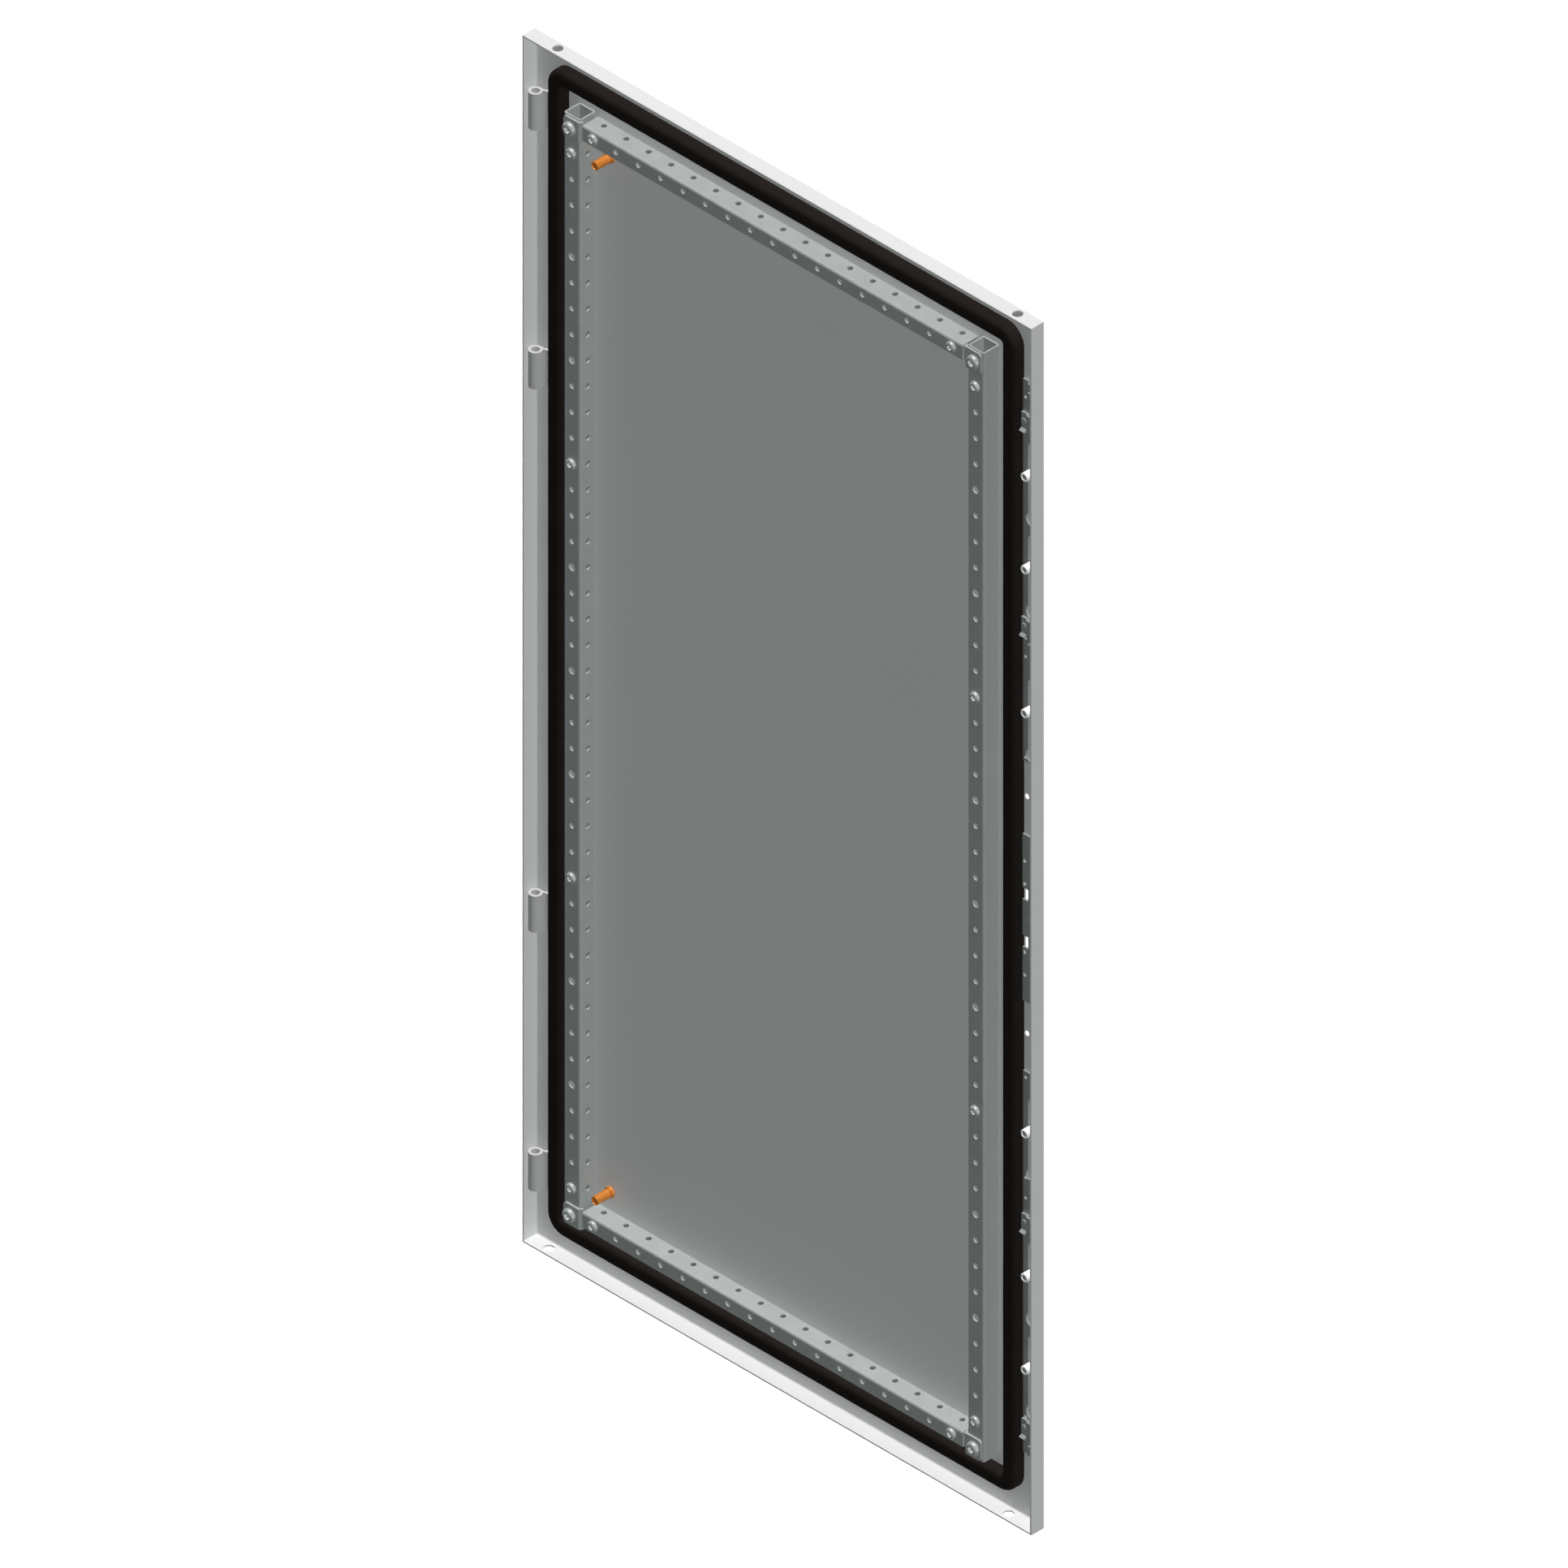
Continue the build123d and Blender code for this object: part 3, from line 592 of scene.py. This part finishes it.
class DOORLEAF_OT_pour_seal(bpy.types.Operator):
    """Pours the foam seal round the sheet."""

    bl_idname = "doorleaf.pour_seal"
    bl_label = "Pour seal"

    def execute(self, context):
        finish_piece(seal_bead(), "foam_bead", poured_foam(), "door_leaf", ["gasket"], angle=40)
        return {"FINISHED"}


class DOORLEAF_OT_drive_screws(bpy.types.Operator):
    """Drives the pan-head screws of the tubes, rails and corners."""

    bl_idname = "doorleaf.drive_screws"
    bl_label = "Drive screws"

    def execute(self, context):
        settings = chosen().screws
        zinc = plated_zinc("screw_plating", chosen().zinc.screw_colour, metallic=0.3, roughness=0.42)
        sets = {
            "tube_screws": (settings.small_head, settings.small_shank),
            "rail_screws": (settings.small_head, settings.small_shank),
            "corner_screws": (settings.large_head, settings.large_shank),
        }
        for node, (head_h, shank_r) in sets.items():
            boxes = solids_of(node)
            low, high = boxes[0]
            head_r = (high.x - low.x) / 2
            model = pan_screw(head_r, head_h, shank_r, high.y - low.y - head_h)
            for number, (low, high) in enumerate(boxes, 1):
                seat = ((low.x + high.x) / 2, low.y + head_h, (low.z + high.z) / 2)
                replaced = [node] if number == 1 else []
                set_down(model, f"{node[:-1]}_{number}", seat, zinc, replaced, angle=30)
            bpy.data.objects.remove(model)
        coat(zinc, "tube_bushes", "rail_nuts", "corner_nuts", "hinge_rivets", "catch_rivets")
        return {"FINISHED"}


class DOORLEAF_OT_weld_earth_studs(bpy.types.Operator):
    """Stands the two copper plated earth studs on the sheet."""

    bl_idname = "doorleaf.weld_earth_studs"
    bl_label = "Weld earth studs"

    def execute(self, context):
        settings = chosen().screws
        copper = copper_plate()
        for level in ("bottom", "top"):
            node = f"earth_stud_{level}"
            low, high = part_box(node)
            collar_r = (high.x - low.x) / 2
            length = high.y - low.y
            model = earth_stud(settings.stud_shank, collar_r, settings.stud_collar, length)
            seat = ((low.x + high.x) / 2, high.y, (low.z + high.z) / 2)
            set_down(model, f"copper_{node}", seat, copper, [node], angle=20)
            bpy.data.objects.remove(model)
        return {"FINISHED"}


class DOORLEAF_OT_fit_guides(bpy.types.Operator):
    """Finishes the shouldered studs and their white sleeves."""

    bl_idname = "doorleaf.fit_guides"
    bl_label = "Fit guides"

    def execute(self, context):
        coat(white_nylon(), "guide_sleeves")
        studs = plated_zinc("stud_plating", chosen().zinc.screw_colour, metallic=0.55, roughness=0.4)
        coat(studs, "guide_studs")
        return {"FINISHED"}


class DOORLEAF_OT_plate_lock(bpy.types.Operator):
    """Plates the lock plate, the bars, their catches and the drive."""

    bl_idname = "doorleaf.plate_lock"
    bl_label = "Plate lock"

    def execute(self, context):
        zinc = chosen().zinc
        bars = ["upper_lock_bar", "upper_link_bar", "lower_link_bar", "lower_lock_bar", "bar_end_clips"]
        joints = [f"{kind}_joint_{level}" for kind in ("bar", "rack") for level in ("upper", "lower")]
        catches = [f"lock_catch_{number}" for number in range(1, 5)]
        plating = plated_zinc("lock_plating", zinc.lock_colour, metallic=0.4, roughness=0.42)
        coat(plating, "lock_plate", *bars, *joints, *catches)
        steel = plated_zinc("gear_steel", shade(zinc.lock_colour, 0.85), metallic=0.7, roughness=0.3)
        coat(steel, "lock_pinion", "drive_rack")
        casting = plated_zinc("nickel_casting", shade(zinc.screw_colour, 0.95), metallic=0.5, roughness=0.48)
        coat(casting, "lock_barrel", "lock_spindle")
        return {"FINISHED"}


class DOORLEAF_OT_set_stage(bpy.types.Operator):
    """Lays the floor, stands the backdrop round it and sets the lights and the camera."""

    bl_idname = "doorleaf.set_stage"
    bl_label = "Set stage"

    def execute(self, context):
        settings = chosen().studio
        deselect()
        bpy.ops.mesh.primitive_plane_add(size=30, location=(0, 0, -0.5 * MM))
        floor = context.object
        floor.name = "floor"
        floor.data.materials.append(plain_surface("pale_floor", 1.5, Specular_IOR_Level=0.1))
        bpy.ops.mesh.primitive_cylinder_add(vertices=96, radius=14, depth=24, end_fill_type="NOTHING")
        backdrop = context.object
        backdrop.name = "backdrop"
        glow = {"Emission_Strength": 0.92, "Emission_Color": (1, 1, 1, 1)}
        backdrop.data.materials.append(plain_surface("white_backdrop", 4.0, **glow))
        for surface in (floor, backdrop):
            surface.visible_diffuse = False
            surface.visible_glossy = False
            surface.visible_shadow = False
        warm, neutral, cool = (1.0, 0.992, 0.98), (0.985, 1.0, 0.995), (0.95, 1.0, 1.01)
        lamps = {
            "top_lamp": (settings.top_light, warm, (0.0, -0.04, 1.0)),
            "side_lamp": (settings.side_light, neutral, (1.0, -0.03, 0.0)),
            "inside_lamp": (settings.inside_light, cool, (0.0, -1.0, 0.0)),
            "outside_lamp": (settings.outside_light, warm, (-0.2, 1.0, 0.0)),
            "hinge_lamp": (settings.hinge_light, cool, (-1.0, 0.0, 0.0)),
        }
        for name, (strength, colour, toward) in lamps.items():
            bpy.ops.object.light_add(type="SUN")
            lamp = context.object
            lamp.name = name
            lamp.data.energy = strength
            lamp.data.color = colour
            lamp.data.angle = settings.lamp_spread
            lamp.data.use_shadow = False
            lamp.rotation_euler = Vector(toward).to_track_quat("Z", "Y").to_euler()
        world = bpy.data.worlds.new("studio_air")
        world.use_nodes = True
        air = world.node_tree.nodes["Background"]
        air.inputs["Color"].default_value = (*cool, 1)
        air.inputs["Strength"].default_value = settings.air_light
        context.scene.world = world
        context.scene.view_settings.view_transform = "Standard"
        back = Vector((1, -1, 1)).normalized()
        target = Vector((0.00807, -0.0043, 0.5884))
        distance, farthest = 3, 60
        bpy.ops.object.camera_add(location=target + distance * back)
        camera = context.object
        camera.rotation_euler = back.to_track_quat("Z", "Y").to_euler()
        camera.data.type = "ORTHO"
        camera.data.ortho_scale = settings.view_width
        camera.data.clip_end = farthest
        context.scene.camera = camera
        return {"FINISHED"}


STEPS = (
    DOORLEAF_OT_coat_sheet,
    DOORLEAF_OT_galvanise_frame,
    DOORLEAF_OT_pour_seal,
    DOORLEAF_OT_drive_screws,
    DOORLEAF_OT_weld_earth_studs,
    DOORLEAF_OT_fit_guides,
    DOORLEAF_OT_plate_lock,
    DOORLEAF_OT_set_stage,
)


class DOORLEAF_PT_steps(bpy.types.Panel):
    """Lists the settings and the steps of the door leaf."""

    bl_idname = "DOORLEAF_PT_steps"
    bl_label = "Door Leaf"
    bl_space_type = "VIEW_3D"
    bl_region_type = "UI"
    bl_category = "Door Leaf"

    def draw(self, context):
        for group in SETTINGS:
            box = self.layout.box()
            box.label(text=group.capitalize())
            for setting in SETTINGS[group].__annotations__:
                box.prop(getattr(context.scene.door_leaf, group), setting)
        for step in STEPS:
            self.layout.operator(step.bl_idname)


CLASSES = (*SETTINGS.values(), DoorLeafSettings, *STEPS, DOORLEAF_PT_steps)


def register():
    """Adds the settings, the steps and the panel."""
    for item in CLASSES:
        bpy.utils.register_class(item)
    bpy.types.Scene.door_leaf = bpy.props.PointerProperty(type=DoorLeafSettings)


def unregister():
    """Takes them away again."""
    del bpy.types.Scene.door_leaf
    for item in reversed(CLASSES):
        bpy.utils.unregister_class(item)


def main():
    """Runs every step in order."""
    register()
    for step in STEPS:
        group, name = step.bl_idname.split(".")
        getattr(getattr(bpy.ops, group), name)()


if __name__ == "__main__":
    main()
